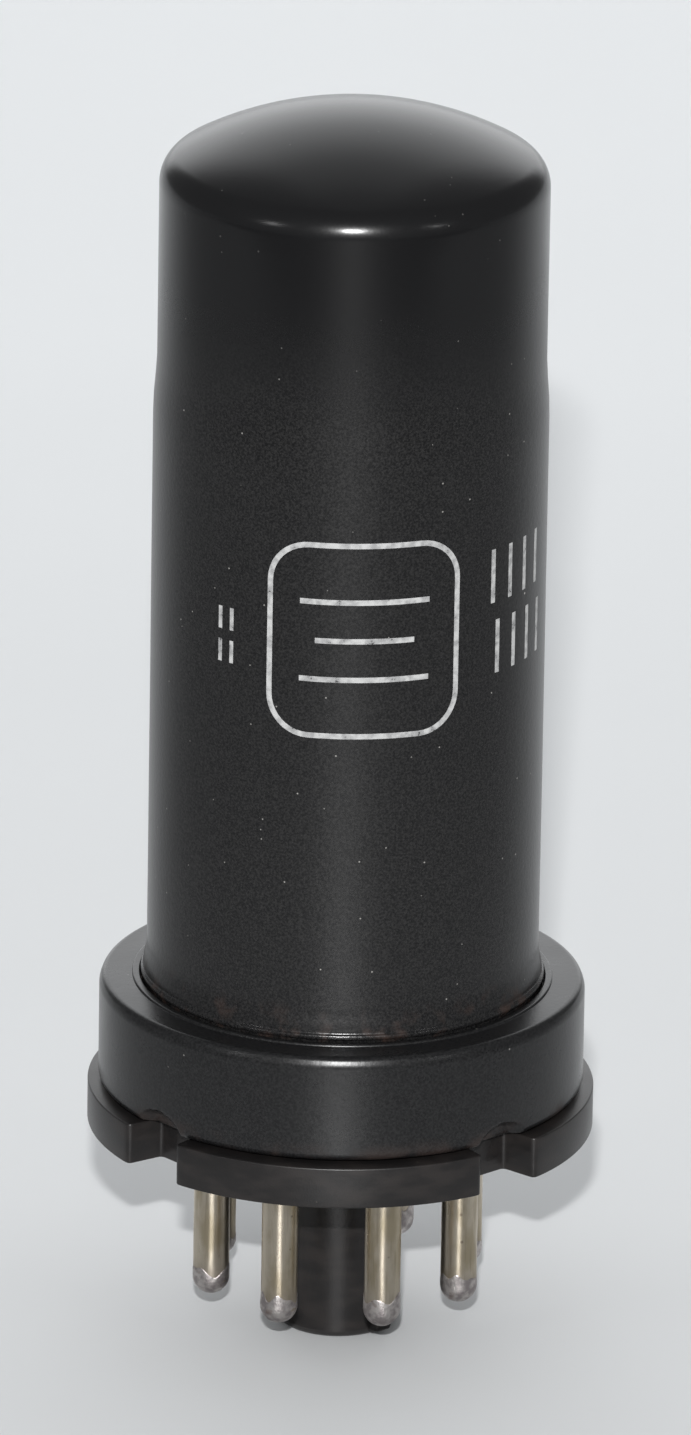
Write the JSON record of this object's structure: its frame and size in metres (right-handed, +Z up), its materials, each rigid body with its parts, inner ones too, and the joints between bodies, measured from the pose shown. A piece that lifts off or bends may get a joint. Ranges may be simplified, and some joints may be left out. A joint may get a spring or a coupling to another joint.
{
  "type": "vacuum tube",
  "caption": "Metal-envelope vacuum tube for vintage radios: domed black steel shell, crimped skirt ring and keyed octal pin base, with its electrodes, seals and leads inside.",
  "frame": {"origin": "middle of the aligning plug's flat bottom end, where the tube stands", "axes": "+Z up along the tube's axis to the domed end. -Y is the front, midway between two rim notches; the key rib on the plug points towards +X and -Y, at 45 degrees between them."},
  "size_m": [0.033, 0.033, 0.0825],
  "materials": {
    "black_enamel": "satin black enamel with a fine orange-peel grain",
    "skirt_enamel": "semi-gloss black enamel, worn at the crimps",
    "black_phenolic": "satin moulded phenolic, faintly brown on its edges",
    "plated_brass": "nickel-plated brass, warm and lightly tarnished",
    "solder": "dull grey solder",
    "header_steel": "plain drawn steel",
    "copper_wire": "copper-clad lead wire",
    "eyelet_alloy": "iron-nickel-cobalt sealing alloy",
    "seal_glass": "clear sealing glass",
    "mica": "pale stamped mica sheet",
    "nickel": "bright nickel strip and wire",
    "carbonised_nickel": "matt carbonised nickel",
    "grid_wire": "fine drawn grid wire",
    "cathode_oxide": "white sprayed oxide",
    "heater_alumina": "white alumina-coated tungsten"
  },
  "bodies": {
    "root": {"shell": "black_enamel", "header_skirt": "skirt_enamel", "octal_base": "black_phenolic", "base_pin_1": "plated_brass", "base_pin_2": "plated_brass", "base_pin_3": "plated_brass", "base_pin_4": "plated_brass", "base_pin_5": "plated_brass", "base_pin_6": "plated_brass", "base_pin_7": "plated_brass", "base_pin_8": "plated_brass", "pin_solder_1": "solder", "pin_solder_2": "solder", "pin_solder_3": "solder", "pin_solder_4": "solder", "pin_solder_5": "solder", "pin_solder_6": "solder", "pin_solder_7": "solder", "pin_solder_8": "solder", "header": "header_steel", "exhaust_tube": "header_steel", "eyelet_2": "eyelet_alloy", "eyelet_3": "eyelet_alloy", "eyelet_4": "eyelet_alloy", "eyelet_5": "eyelet_alloy", "eyelet_6": "eyelet_alloy", "eyelet_7": "eyelet_alloy", "eyelet_8": "eyelet_alloy", "glass_bead_2": "seal_glass", "glass_bead_3": "seal_glass", "glass_bead_4": "seal_glass", "glass_bead_5": "seal_glass", "glass_bead_6": "seal_glass", "glass_bead_7": "seal_glass", "glass_bead_8": "seal_glass", "lead_wire_1": "copper_wire", "lead_wire_2": "copper_wire", "lead_wire_3": "copper_wire", "lead_wire_4": "copper_wire", "lead_wire_5": "copper_wire", "lead_wire_6": "copper_wire", "lead_wire_7": "copper_wire", "lead_wire_8": "copper_wire", "lower_mica_spacer": "mica", "upper_mica_spacer": "mica", "control_grid": "grid_wire", "screen_grid": "grid_wire", "suppressor_grid": "grid_wire", "plate": "carbonised_nickel", "cathode_sleeve": "nickel", "cathode_coating": "cathode_oxide", "heater": "heater_alumina", "mount_support_left": "nickel", "mount_support_right": "nickel", "stem_shield": "nickel", "spacer_shield": "nickel", "getter_support": "nickel", "getter_cup": "nickel"}
  },
  "joints": []
}
